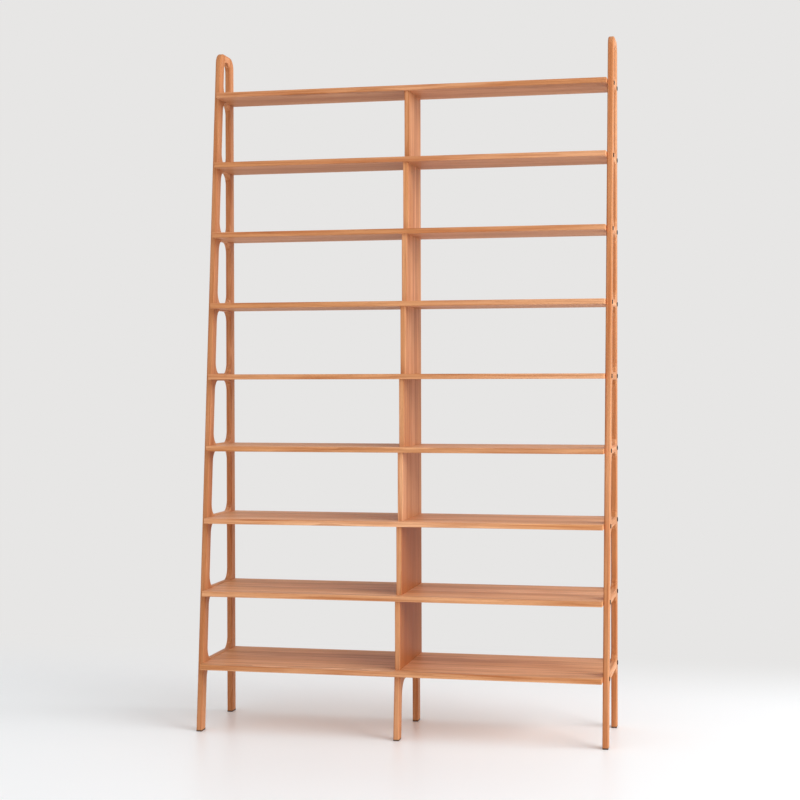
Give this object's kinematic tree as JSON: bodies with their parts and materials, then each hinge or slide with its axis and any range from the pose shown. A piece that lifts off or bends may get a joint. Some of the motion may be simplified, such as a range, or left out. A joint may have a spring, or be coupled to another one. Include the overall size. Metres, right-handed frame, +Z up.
{
  "type": "wall unit",
  "caption": "Tall open wooden wall unit: ladder side frames that lean back, shelves that get deeper towards the floor, dividers in the middle and a small leg frame under the lowest shelf.",
  "frame": {"origin": "on the floor under the middle of the lowest shelf: the bottom centre of the bounding box", "axes": "+X to the unit's right seen from the front, +Y towards the wall, +Z up; the front faces -Y"},
  "size_m": [1.425, 0.405, 2.389],
  "materials": {
    "frame_wood": "solid wood, warm orange brown stain, satin clear coat",
    "shelf_wood": "solid board with fine straight grain along the width, warm orange brown stain, satin clear coat",
    "divider_wood": "solid board with upright grain, warm orange brown stain, satin clear coat",
    "tenon_wood": "raw beech loose tenons, hidden in the joints",
    "black_metal": "black coated steel screws with flat heads",
    "glide_plastic": "dark brown plastic glides"
  },
  "bodies": {
    "root": {"left_back_stile": "frame_wood", "left_front_stile": "frame_wood", "left_rail_1": "frame_wood", "left_rail_2": "frame_wood", "left_rail_3": "frame_wood", "left_rail_4": "frame_wood", "left_rail_5": "frame_wood", "left_rail_6": "frame_wood", "left_rail_7": "frame_wood", "left_rail_8": "frame_wood", "left_rail_9": "frame_wood", "left_top_rail": "frame_wood", "left_frame_tenons": "tenon_wood", "left_shelf_screws": "black_metal", "right_back_stile": "frame_wood", "right_front_stile": "frame_wood", "right_rail_1": "frame_wood", "right_rail_2": "frame_wood", "right_rail_3": "frame_wood", "right_rail_4": "frame_wood", "right_rail_5": "frame_wood", "right_rail_6": "frame_wood", "right_rail_7": "frame_wood", "right_rail_8": "frame_wood", "right_rail_9": "frame_wood", "right_top_rail": "frame_wood", "right_frame_tenons": "tenon_wood", "right_shelf_screws": "black_metal", "shelf_1": "shelf_wood", "shelf_2": "shelf_wood", "shelf_3": "shelf_wood", "shelf_4": "shelf_wood", "shelf_5": "shelf_wood", "shelf_6": "shelf_wood", "shelf_7": "shelf_wood", "shelf_8": "shelf_wood", "shelf_9": "shelf_wood", "divider_1": "divider_wood", "divider_2": "divider_wood", "divider_3": "divider_wood", "divider_4": "divider_wood", "divider_5": "divider_wood", "divider_6": "divider_wood", "divider_7": "divider_wood", "divider_8": "divider_wood", "divider_tenons": "tenon_wood", "mid_back_leg": "frame_wood", "mid_rail": "frame_wood", "mid_front_leg": "frame_wood", "mid_tenons": "tenon_wood", "foot_pads": "glide_plastic"}
  },
  "joints": []
}
